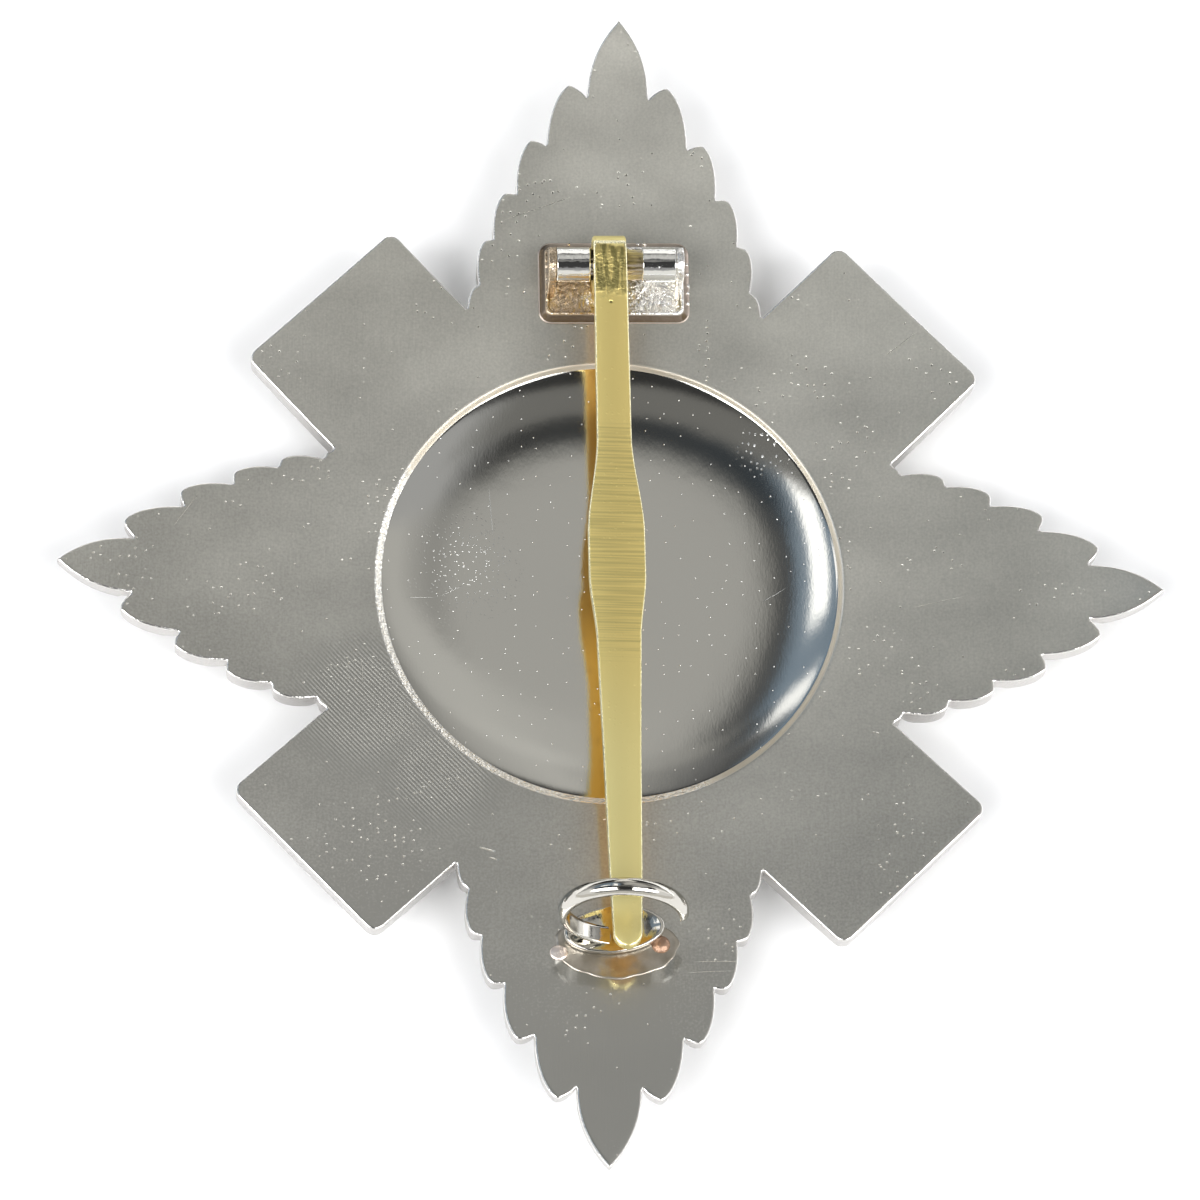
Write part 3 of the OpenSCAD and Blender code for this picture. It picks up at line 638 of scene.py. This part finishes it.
# The hinge's housing
# A thin tray with two ears, folded from plated sheet and soldered to the back, with coppery
# solder and a few small beads of it round its foot.
hinge_skew, hinge_x, hinge_y = 1.85, 0.66, 22.62
base_w, base_d, base_t, solder_w = 10.1, 5.37, 0.3, 0.3
tray_wall_h, tray_wall_t = 0.4, 0.42
ear_t, ear_r, ear_foot_d = 0.5, 1.25, 3.5
rod_h, rod_y, rod_len = 2.53, 0.57, 8.36
side_gap, seat_gap = 0.07, 0.02
ear_x = rod_len / 2 + side_gap
hinge_slope = math.asin(hinge_y / back_R)
hinge_lift = (math.hypot(base_w / 2 + solder_w, base_d / 2 + solder_w)) ** 2 / (2 * back_R) + seat_gap


def turned(points, axis, degrees):
    """Points turned about the X or the Z axis."""
    c, s = math.cos(math.radians(degrees)), math.sin(math.radians(degrees))
    turn = {
        "X": [[1, 0, 0], [0, c, -s], [0, s, c]],
        "Z": [[c, -s, 0], [s, c, 0], [0, 0, 1]],
    }[axis]
    return np.asarray(points) @ np.array(turn).T


def on_hinge_seat(points):
    """Points of the hinge's own frame put on its seat: +X along the rod, +Z out of the back."""
    lifted = np.asarray(points) + [0, 0, hinge_lift]
    tilted = turned(lifted, "X", math.degrees(hinge_slope)) + [hinge_x, hinge_y, float(back_z(hinge_y))]
    return turned(tilted, "Z", hinge_skew)


def rounded_ring(w, d, r, z):
    """A rectangle with round corners at height z, anticlockwise: a quarter circle at each corner,
    with points along each side between them."""
    turn = np.radians(np.linspace(0, 90, 10))
    ring = []
    for k, (sx, sy) in enumerate(((1, 1), (-1, 1), (-1, -1), (1, -1))):
        middle = np.array([sx * (w / 2 - r), sy * (d / 2 - r)])
        a = turn + k * math.pi / 2
        ring.append(middle + r * circle(a))
    ring = np.vstack(ring)
    filled = []
    for p, q in zip(ring, np.roll(ring, -1, 0)):
        parts = max(1, int(np.hypot(*(q - p)) / 0.25))
        filled.append(p + np.arange(parts)[:, None] / parts * (q - p))
    return at_height(np.vstack(filled), z)


def evened(ring, count):
    """A closed ring taken again at an even count of points, from its own first point."""
    closed = np.vstack([ring, ring[:1]])
    run = np.r_[0, np.cumsum(np.linalg.norm(np.diff(closed, axis=0), axis=1))]
    at = np.linspace(0, run[-1], count + 1)[:-1]
    return np.stack([np.interp(at, run, closed[:, k]) for k in range(3)], 1)


def lofted(name, loops):
    """A closed surface through rings of the same count, each end closed on its ring's middle. The
    faces are turned over where their volume, summed from the origin, comes out negative."""
    count = len(loops[0])
    pts = np.vstack(loops + [loops[0].mean(0)[None], loops[-1].mean(0)[None]])
    parts = [ring_faces(i * count, (i + 1) * count, count) for i in range(len(loops) - 1)]
    tip = count * len(loops)
    parts += end_faces(tip, tip - count, count)
    volume = 0.0
    for part in parts:
        for n in range(2, part.shape[1]):
            a, b, c = pts[part[:, 0]], pts[part[:, n - 1]], pts[part[:, n]]
            volume += float((a * np.cross(b, c)).sum())
    if volume < 0:
        parts = [part[:, ::-1] for part in parts]
    return new_piece(name, pts, parts)


TRAY_POINTS, SOLDER_BANDS = 240, 4
wall_top = base_t + tray_wall_h
tray_w, tray_d = base_w - 2 * tray_wall_t, base_d - 2 * tray_wall_t
tray_loops = [evened(rounded_ring(w, d, r, z), TRAY_POINTS) for w, d, r, z in (
    (base_w + 2 * solder_w, base_d + 2 * solder_w, 0.9, 0.0),
    (base_w + 2 * solder_w - 0.16, base_d + 2 * solder_w - 0.16, 0.85, 0.08),
    (base_w + 0.25, base_d + 0.25, 0.75, 0.16),
    (base_w, base_d, 0.6, base_t),
    (base_w - solder_w, base_d - solder_w, 0.5, wall_top - 0.12),
    (base_w - solder_w - 0.08, base_d - solder_w - 0.08, 0.5, wall_top - 0.03),
    (base_w - solder_w - 0.22, base_d - solder_w - 0.22, 0.45, wall_top),
    (tray_w + 0.1, tray_d + 0.1, 0.4, wall_top - 0.02),
    (tray_w, tray_d, 0.4, wall_top - 0.1),
    (tray_w - 0.05, tray_d - 0.05, 0.4, base_t + 0.08),
    (tray_w - 0.2, tray_d - 0.2, 0.35, base_t),
    (tray_w * 0.8, tray_d * 0.7, 0.3, base_t),
    (tray_w * 0.4, tray_d * 0.3, 0.2, base_t),
)]
tray = lofted("hinge_tray", [on_hinge_seat(loop) for loop in tray_loops])


def ear_loops(x0, side):
    """Rings of one ear: a foot with straight sides that runs into a round top about the rod, with
    its faces' edges rounded, carried along X from x0."""
    turn = np.radians(np.linspace(0, 180, 25))
    top = [rod_y, rod_h] + ear_r * circle(turn)
    foot = np.array([[rod_y - ear_foot_d / 2, base_t / 2], [rod_y + ear_foot_d / 2, base_t / 2]])
    ring = np.vstack([top, foot])
    middle = ring.mean(0)
    rings = []
    for x, inset_mm in (
        (0, 0.08), (0.03, 0.02), (0.08, 0), (ear_t - 0.08, 0), (ear_t - 0.03, 0.02), (ear_t, 0.08),
    ):
        shrunk = middle + (ring - middle) * (1 - inset_mm / ear_r)
        rings.append(evened(np.c_[np.full(len(ring), x0 + side * x), shrunk], 96))
    return [on_hinge_seat(r) for r in rings]


ears = [lofted("hinge_ear_right", ear_loops(ear_x, 1)), lofted("hinge_ear_left", ear_loops(-ear_x, -1))]

bead_h = 0.12
SOLDER_BEADS = [
    # across, along the hinge, radius
    (5.18, 1.35, 0.13), (5.2, 0.62, 0.15), (5.24, -0.22, 0.16), (5.22, -0.75, 0.13),
    (5.2, -1.55, 0.15), (2.2, 2.82, 0.2), (1.75, 2.86, 0.12), (-3.15, 2.8, 0.13),
]


def once_round(count):
    """Even angles once round, from 0."""
    return np.linspace(0, 2 * math.pi, count + 1)[:-1]


def ball_loops(across, along, radius):
    """Rings of a round bead of solder, its middle bead_h above the seat."""
    rings = []
    for lift in np.radians(np.linspace(-88, 88, 9)):
        flat = [across, along] + radius * math.cos(lift) * circle(once_round(16))
        rings.append(at_height(flat, bead_h + radius * math.sin(lift)))
    return [on_hinge_seat(r) for r in rings]


beads = [lofted("solder_bead_%d" % n, ball_loops(*row)) for n, row in enumerate(SOLDER_BEADS)]

sheet, tree, shader, mm = metal("plated_sheet", (0.78, 0.74, 0.70), 0.2)
uneven(tree, shader, mm, (2.6, 2.6, 2.6), 4.0, 0.14)
# Painted shade: the sheet is painted browner toward its left end. The noise over it is patchy stain.
painted_shade_leftward = rescaled(tree, axes(tree, mm)["X"], (3.5, -3.5), (-0.25, 0.2))
stain_and_painted_shade = plus(tree, stretched_noise(tree, mm, (1.1, 1.1, 1.1), 2.0), painted_shade_leftward)
tinted(tree, shader, smooth_edge(tree, stain_and_painted_shade, 0.3, 0.65), (0.92, 0.91, 0.89), (0.58, 0.47, 0.34))
solder, tree, shader, mm = metal("solder_skin", (0.70, 0.58, 0.52), 0.3)
uneven(tree, shader, mm, (2.0, 2.0, 2.0), 3.0, 0.08)
place = axes(tree, mm)
# Painted shade: the solder is painted dark brown on its lower and left sides and at its two lower corners.
# The noise over it is its own patchy tone.
clear_of_painted_shade = combine(tree, "MINIMUM", smooth_edge(tree, place["Y"], 19.6, 20.6),
                      smooth_edge(tree, place["X"], -5.3, -4.6))
for corner in ((-4.94, 19.9), (4.96, 20.2)):
    clear = combine(tree, "SUBTRACT", 1.0, near_spot(tree, mm, corner, 0.25, 0.2))
    clear_of_painted_shade = combine(tree, "MINIMUM", clear_of_painted_shade, clear)
patchy = times(tree, stretched_noise(tree, mm, (0.9, 0.9, 0.9), 3.0), 0.5)
tinted(tree, shader, times(tree, plus(tree, patchy, 0.3), clear_of_painted_shade),
       (0.16, 0.12, 0.08), (0.66, 0.57, 0.52))
rim_solder = uneven_metal("solder_rim", (0.95, 0.84, 0.78), 0.35, (3.0, 3.0, 3.0), 3.0, 0.05)
for piece in [tray] + ears + beads:
    piece.data.materials.append(sheet)
    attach(piece, "star")
    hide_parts("hinge_housing")
tray.data.materials.append(solder)
tray.data.materials.append(rim_solder)
slots = np.zeros(len(tray.data.polygons), int)
SOLDER, RIM = 1, 2
slots[:TRAY_POINTS * SOLDER_BANDS] = SOLDER
slots[:TRAY_POINTS] = RIM
tray.data.polygons.foreach_set("material_index", slots)

# The hinge's rod
# A turned and plated rod: thin ends in the ears, two smooth shoulders that show as bright
# barrels, and a fluted middle inside the blade's loop.
shoulder_d, rod_mid_len, rod_d = 2.43, 3.64, 2.15
flutes, flute_depth, trunnion_d = 14, 0.08, 1.4
rod_points, fluted_band = flutes * 12, 13
trunnion_end = ear_x + ear_t - side_gap
round_off = 0.07


def rod_surface():
    """Rings along X. The radius is a step profile with small rounded corners, and in the middle
    it dips by flute_depth as a power of a cosine round the rod."""
    half = rod_len / 2
    mid = rod_mid_len / 2
    profile = [
        (-trunnion_end, trunnion_d / 2 - 0.06), (-trunnion_end + 0.05, trunnion_d / 2),
        (-half, trunnion_d / 2), (-half, shoulder_d / 2 - round_off), (-half + 0.02, shoulder_d / 2 - 0.02),
        (-half + round_off, shoulder_d / 2), (-half + round_off + 0.02, shoulder_d / 2),
        (-half + round_off + 0.04, shoulder_d / 2), (-mid - round_off - 0.04, shoulder_d / 2),
        (-mid - round_off - 0.02, shoulder_d / 2), (-mid - round_off, shoulder_d / 2),
        (-mid - 0.02, shoulder_d / 2 - 0.02), (-mid, shoulder_d / 2 - round_off), (-mid, rod_d / 2),
    ]
    profile += [(-x, r) for x, r in profile[::-1]]
    turn = once_round(rod_points)
    rings = []
    for x, r in profile:
        fluted = abs(x) <= mid and r == rod_d / 2
        dip = flute_depth * (0.5 - 0.5 * np.cos(flutes * turn)) ** 2 * fluted
        side = (r - dip)[:, None] * circle(turn) + [rod_y, rod_h]
        rings.append(np.c_[np.full(len(turn), x), side])
    return [on_hinge_seat(r) for r in rings]


rod = lofted("hinge_rod_turned", rod_surface())
rod_plate = uneven_metal("polished_rod", (0.95, 0.95, 0.93), 0.07, (2.5, 3.0, 3.0), 4.0, 0.02)
fluted = uneven_metal("fluted_middle", (0.56, 0.53, 0.51), 0.3, (3.0, 3.0, 3.0), 3.0, 0.04)
rod.data.materials.append(rod_plate)
rod.data.materials.append(fluted)
FLUTED = 1
slots = np.zeros(len(rod.data.polygons), int)
slots[fluted_band * rod_points:(fluted_band + 1) * rod_points] = FLUTED
rod.data.polygons.foreach_set("material_index", slots)
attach(rod, "star")
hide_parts("hinge_rod")

# The pin's blade
# A strip of spring brass, widest ahead of its middle, brushed across, with bright bevels and a
# gilt underside. Its upper end is bent round the rod into a loop, and its tip is rounded.
blade_len, blade_w, blade_t, blade_x = 50.15, 3.94, 0.9, -0.49
blade_fall, blade_sag, run_gap = 0.28, 0.95, 0.055
blade_bevel = 0.16
loop_turn, LOOP_POINTS = 282, 60
BLADE_PLAN = np.array([
    # distance from the axis and width, as shares, and 1 where an S-shaped side leads here
    [0.000, 0.589, 0],
    [0.265, 0.614, 0],
    [0.409, 1.000, 1],
    [0.465, 1.000, 0],
    [0.566, 0.777, 1],
    [0.726, 0.660, 0],
    [0.893, 0.569, 0],
    [0.975, 0.497, 0],
])
axis_up = rod_h + hinge_lift
axis_y = hinge_y + rod_y * math.cos(hinge_slope) - axis_up * math.sin(hinge_slope)
axis_z = float(back_z(hinge_y)) + rod_y * math.sin(hinge_slope) + axis_up * math.cos(hinge_slope)
loop_mid_r = rod_d / 2 + run_gap + blade_t / 2


def blade_half_width(s):
    """Half the blade's width at a distance s from the axis: straight or S-shaped between the
    plan's rows, then a round tip."""
    share = s / blade_len
    half = np.full(len(s), BLADE_PLAN[0, 1])
    for a, b in zip(BLADE_PLAN[:-1], BLADE_PLAN[1:]):
        t = np.clip((share - a[0]) / (b[0] - a[0]), 0, 1)
        t = t * t * (3 - 2 * t) if b[2] else t
        half = np.where(share >= a[0], a[1] + t * (b[1] - a[1]), half)
    half = half * blade_w / 2
    tip = BLADE_PLAN[-1, 1] * blade_w / 2
    left = np.clip((blade_len - s) / tip, 0, 1)
    return np.minimum(half, tip * np.sqrt(1 - (1 - left) ** 2) + (left >= 1) * half)


def blade_path():
    """The middle line of the strip in (s, z) about the rod's axis, with its upward normal: most
    of a circle round the rod, then a line that falls evenly and sags as half a sine."""
    turn = np.radians(np.linspace(-loop_turn, 0, LOOP_POINTS))[:-1]
    loop = np.stack([loop_mid_r * np.sin(turn), loop_mid_r * np.cos(turn)], 1)
    loop_up = np.stack([np.sin(turn), np.cos(turn)], 1)
    tip = BLADE_PLAN[-1, 1] * blade_w / 2
    round_tip = blade_len - tip * (1 - np.sin(np.radians(np.linspace(0, 89, 16))))
    s = np.r_[np.linspace(0, blade_len - tip, 150)[:-1], round_tip]
    share = s / blade_len
    z = loop_mid_r - blade_fall * share - blade_sag * np.sin(math.pi * share)
    slope = (-blade_fall - blade_sag * math.pi * np.cos(math.pi * share)) / blade_len
    up = np.stack([-slope, np.ones(len(s))], 1) / np.hypot(1, slope)[:, None]
    return np.vstack([loop, np.stack([s, z], 1)]), np.vstack([loop_up, up])


def blade_rings():
    """Rings of a flat section with bevelled corners, carried along the strip's middle line."""
    path, up = blade_path()
    on_strip = np.arange(len(path)) >= LOOP_POINTS - 1
    strip_half = blade_half_width(np.clip(path[:, 0], 0, blade_len))
    half = np.where(on_strip, strip_half, BLADE_PLAN[0, 1] * blade_w / 2)
    b = blade_bevel
    t = blade_t / 2
    right = [
        (1, -b, t), (1, -0.55 * b, t - 0.12 * b), (1, -0.12 * b, t - 0.55 * b), (1, 0, t - b),
        (1, 0, -t + b), (1, -0.3 * b, -t + 0.3 * b), (1, -b, -t),
    ]
    left = [(-sign, -dx, dz) for sign, dx, dz in right[::-1]]
    section = right + [(0, 0, -t)] + left + [(0, 0, t)]
    rings = []
    for (s, z), n, h in zip(path, up, half):
        inner = max(h, 0.02)
        tight = min(1.0, inner / (2 * b))
        x = np.array([sign * inner + dx * tight for sign, dx, _ in section])
        lift = np.array([dz for _, _, dz in section])
        rings.append(np.stack([x, -(s + lift * n[0]), z + lift * n[1]], 1))
    return rings


def on_pin(points):
    """Points about the rod's axis put in the star's frame."""
    return turned(np.asarray(points) + [hinge_x + blade_x, axis_y, axis_z], "Z", hinge_skew)


blade = lofted("pin_blade_strip", [on_pin(r) for r in blade_rings()])
brass_tint, worn_brass, bright_brass = (0.90, 0.73, 0.28), (0.24, 0.21, 0.08), (1.0, 0.88, 0.40)
brass, tree, shader, mm = metal("brushed_brass", brass_tint, 0.42)
place = axes(tree, mm)
along = place["Y"]
cross = stretched_noise(tree, mm, (0.12, 6.0, 0.12), 1.0)
cross_zone = times(tree, smooth_edge(tree, along, 12.5, 9.5), smooth_edge(tree, along, -14.0, -3.0))
lines = times(tree, cross, cross_zone)
lengthwise = stretched_noise(tree, mm, (6.0, 0.6, 1.0), 3.0)
ragged = times(tree, stretched_noise(tree, mm, (1.2, 1.2, 1.2), 3.0), 1.6)
wear_edge = plus(tree, along, ragged)
fold_wear = times(tree, smooth_edge(tree, wear_edge, 24.6, 24.2), smooth_edge(tree, wear_edge, 20.4, 21.2))
fold_wear = times(tree, fold_wear, smooth_edge(tree, place["Z"], 8.0, 8.6))
grit = stretched_noise(tree, mm, (5.0, 5.0, 5.0), 3.0)
dots = specks(tree, mm, 2.4, 0.09, 0.35)
pit = near_spot(tree, mm, (-0.5, 19.35), 0.1, 0.12)
height = times(tree, lines, 0.004)
height = plus(tree, height, times(tree, lengthwise, 0.0025))
height = plus(tree, height, times(tree, times(tree, grit, fold_wear), 0.09))
height = plus(tree, height, times(tree, dots, 0.006))
raised(tree, shader, combine(tree, "SUBTRACT", height, times(tree, pit, 0.05)))
streaks = smooth_edge(tree, stretched_noise(tree, mm, (3.2, 0.6, 0.6), 3.0), 0.4, 0.6)
streaks = plus(tree, times(tree, streaks, 0.6), 0.35)
shade = greater(tree, times(tree, fold_wear, streaks),
                times(tree, smooth_edge(tree, lines, 0.35, 0.65), 0.3))
shade = greater(tree, shade, pit)
# Painted highlight: the blade's bend near the loop is painted lighter. The blade is also painted lighter
# toward its tip.
lighter = greater(tree, smooth_edge(tree, wear_edge, 24.3, 24.7),
                  times(tree, smooth_edge(tree, along, -4.0, -16.0), 0.9))
bent = colour_between(tree, lighter, brass_tint, bright_brass)
base = tinted(tree, shader, shade, brass_tint, worn_brass)
tree.links.new(bent.outputs["Result"], base.inputs["A"])
under, tree, shader, mm = metal("gilt_underside", (0.60, 0.37, 0.10), 0.35)
place = axes(tree, mm)
gilt = times(tree, smooth_edge(tree, stretched_noise(tree, mm, (2.0, 1.2, 1.2), 3.0), 0.2, 0.45),
             smooth_edge(tree, place["Y"], 2.0, -4.0))
# It gives off a little light, which no real blade does, to brighten its mirror image in the dish
glow = colour_between(tree, gilt, (0.22, 0.09, 0.01), (1.0, 0.54, 0.08))
tree.links.new(glow.outputs["Result"], shader.inputs["Emission Color"])
shader.inputs["Emission Strength"].default_value = 0.45
uneven(tree, shader, mm, (5.0, 3.0, 3.0), 3.0, 0.03)
# Painted highlight: the bevels get a paler brass than the strip, so that they show as bright lines.
bevel = uneven_metal("bright_brass_edge", (1.0, 0.95, 0.66), 0.22, (4.0, 4.0, 4.0), 3.0, 0.05)
for made in (brass, under, bevel):
    blade.data.materials.append(made)
facing = np.zeros((len(blade.data.polygons), 3))
middles = np.zeros_like(facing)
blade.data.polygons.foreach_get("normal", facing.ravel())
blade.data.polygons.foreach_get("center", middles.ravel())
UNDERSIDE, BEVEL = 1, 2
under_top_y, bevel_top_y = 21 * MM, 24 * MM
slots = np.where((facing[:, 2] < -0.5) & (middles[:, 1] < under_top_y), UNDERSIDE, 0)
slots[(facing[:, 2] > 0.15) & (facing[:, 2] < 0.93) & (middles[:, 1] < bevel_top_y)] = BEVEL
blade.data.polygons.foreach_set("material_index", slots)
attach(blade, "pin")
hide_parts("pin_blade")

# The catch
# An open hook of half-round strip on a hollow oval pad, plated, and soldered down below the dish
# in a thin pool, with a drop of coppery solder on one side and a flat blob on the other.
catch_x, catch_y, pad_turn = 0.3, 25.1, 7.7
pad_l, pad_w = 6.9, 3.35
hook_r, hook_w, hook_t, hook_h = 4.1, 1.3, 0.6, 4.2
hook_sweep, hook_lean, hook_x, hook_y, hook_sink = 262, 2.8, 0.38, 0.45, 0.015
drop_d, blob_place, blob_wide, blob_deep, blob_high = 1.5, (-3.7, -1.6), 0.62, 0.55, 0.16
pool_x, pool_y, pool_wide, pool_deep = 0.15, -0.95, 4.15, 2.4
catch_slope = math.asin(catch_y / back_R)
catch_lift = (pad_l / 2) ** 2 / (2 * back_R) + seat_gap


def on_catch_seat(points):
    """Points of the catch's own frame put on its seat, +Z out of the back."""
    lifted = np.asarray(points) + [0, 0, catch_lift]
    return turned(lifted, "X", -math.degrees(catch_slope)) + [catch_x, -catch_y, float(back_z(catch_y))]


def pad_rings():
    """Ovals of growing and then shrinking size: the pad's side, its round rim and its hollow."""
    rings = []
    for share, z in ((1.0, 0.0), (1.0, 0.45), (0.985, 0.58), (0.95, 0.645), (0.9, 0.62), (0.82, 0.56),
                     (0.7, 0.51), (0.5, 0.46), (0.25, 0.435)):
        rings.append(at_height(share * np.array([pad_l, pad_w]) / 2 * circle(once_round(96)), z))
    return [on_catch_seat(turned(r, "Z", pad_turn)) for r in rings]


def hook_rings():
    """A section that is flat inside and half round outside, carried round a circle from the free
    end to the foot, in a plane that leans toward the hinge."""
    around = np.radians(np.linspace(-90, 90, 17))
    outer = np.stack([hook_r - hook_t / 2 + hook_t * np.cos(around), hook_w / 2 * np.sin(around)], 1)
    inner = np.stack([np.full(5, hook_r - hook_t / 2), np.linspace(hook_w / 2, -hook_w / 2, 7)[1:-1]], 1)
    section = np.vstack([outer, inner])
    centre = section.mean(0)
    rings = []
    ends = np.r_[0.0, 0.4, 1.2, np.linspace(2.5, hook_sweep, 120)]
    for k, turn in enumerate(np.radians(ends)):
        size = (0.7, 0.9, 1.0)[min(k, 2)]
        r, y = (centre + (section - centre) * size).T
        flat = np.stack([r * math.cos(turn), -y, r * math.sin(turn)], 1)
        rings.append(flat + [0, 0, hook_h - hook_sink])
    return [on_catch_seat(turned(r, "X", -hook_lean) + [hook_x, -hook_y, 0]) for r in rings]


def drop_rings(middle, wide, deep, high):
    """Rings of a low drop of solder: half of a ball, flattened."""
    rings = []
    for lift in np.radians(np.linspace(0, 86, 12)):
        flat = middle + np.array([wide, deep]) * math.cos(lift) * circle(once_round(32))
        rings.append(at_height(flat, high * math.sin(lift)))
    return [on_catch_seat(r) for r in rings]


def skirt_rings():
    """Rings of a thin pool of solder round the pad's foot: an oval whose radius waves a little,
    with a low rounded rim, spread mostly toward the lower point."""
    turn = once_round(96)
    wave = 1 + 0.025 * np.sin(3 * turn + 1) + 0.02 * np.sin(7 * turn) + 0.01 * np.sin(16 * turn)
    rings = []
    for share, z in (
        (1.0, -0.05), (1.0, 0.0), (0.99, 0.03), (0.96, 0.06), (0.92, 0.05), (0.8, 0.05), (0.5, 0.07),
    ):
        reach = (share * wave)[:, None] * [pool_wide, pool_deep]
        rings.append(at_height([pool_x, pool_y] + reach * circle(turn), z))
    return [on_catch_seat(r) for r in rings]


skirt = lofted("catch_solder_pool", skirt_rings())
pad = lofted("catch_pad_oval", pad_rings())
hook = lofted("catch_hook_strip", hook_rings())
drop_place = (pad_l / 2 * math.cos(math.radians(pad_turn)) - drop_d / 6, -pad_w / 4)
drop = lofted("catch_solder_drop", drop_rings(drop_place, 0.43 * drop_d, 0.43 * drop_d, 0.25 * drop_d))
blob = lofted("catch_solder_blob", drop_rings(blob_place, blob_wide, blob_deep, blob_high))
catch_plate = uneven_metal("polished_catch", (0.62, 0.60, 0.55), 0.08, (1.2, 1.2, 1.2), 4.0, 0.02)
copper = uneven_metal("copper_solder", (0.42, 0.27, 0.19), 0.42, (2.5, 2.5, 2.5), 3.0, 0.12)
pool, tree, shader, mm = metal("catch_solder_skin", (0.40, 0.36, 0.31), 0.3)
uneven(tree, shader, mm, (1.5, 1.5, 1.5), 3.0, 0.05)
tinted(tree, shader, stretched_noise(tree, mm, (0.8, 0.8, 0.8), 3.0), (0.24, 0.20, 0.14), (0.72, 0.68, 0.62))
for piece, made in (
    (pad, catch_plate), (hook, catch_plate), (drop, copper), (skirt, pool), (blob, rim_solder),
):
    piece.data.materials.append(made)
    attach(piece, "star")
    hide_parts("catch")
